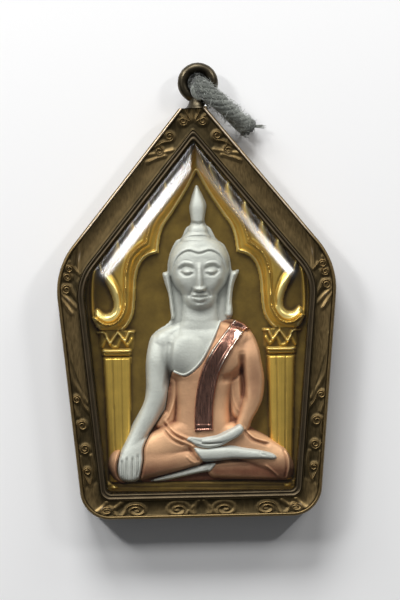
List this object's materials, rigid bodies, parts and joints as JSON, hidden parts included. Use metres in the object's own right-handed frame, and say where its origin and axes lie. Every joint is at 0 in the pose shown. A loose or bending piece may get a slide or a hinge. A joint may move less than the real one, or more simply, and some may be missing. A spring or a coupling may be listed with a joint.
{
  "type": "cased amulet pendant",
  "caption": "Five-sided cased amulet pendant: a struck plaque with a seated figure under an arch, behind a domed clear window, worn from a bail.",
  "frame": {"origin": "middle of the whole pendant on the surface that its back lies on", "axes": "+Y towards the bail, +Z out of the window, +X to the right as the window is looked at with the bail up"},
  "size_m": [0.0364, 0.0594, 0.0082],
  "materials": {
    "case_brass": "aged, satin",
    "back_brass": "aged, satin",
    "rim_brass": "darkened",
    "clear_window": "clear acrylic, polished",
    "plaque_gold": "struck, half bright",
    "figure_silver": "sand-blasted silver plate",
    "robe_copper": "sand-blasted copper plate",
    "sash_copper": "dark copper plate, bright",
    "bail_bronze": "dark, worn",
    "cord_thread": "frayed grey thread"
  },
  "bodies": {
    "root": {"case_frame": "case_brass", "back_plate": "back_brass", "rim_ring": "rim_brass", "window": "clear_window", "plaque": "plaque_gold", "figure": "figure_silver", "robe": "robe_copper", "knee_robe": "robe_copper", "sash": "sash_copper", "lap_hand": "figure_silver", "upper_foot": "figure_silver", "lower_foot": "figure_silver", "bail": "bail_bronze", "cord_stub": "cord_thread"}
  },
  "joints": []
}
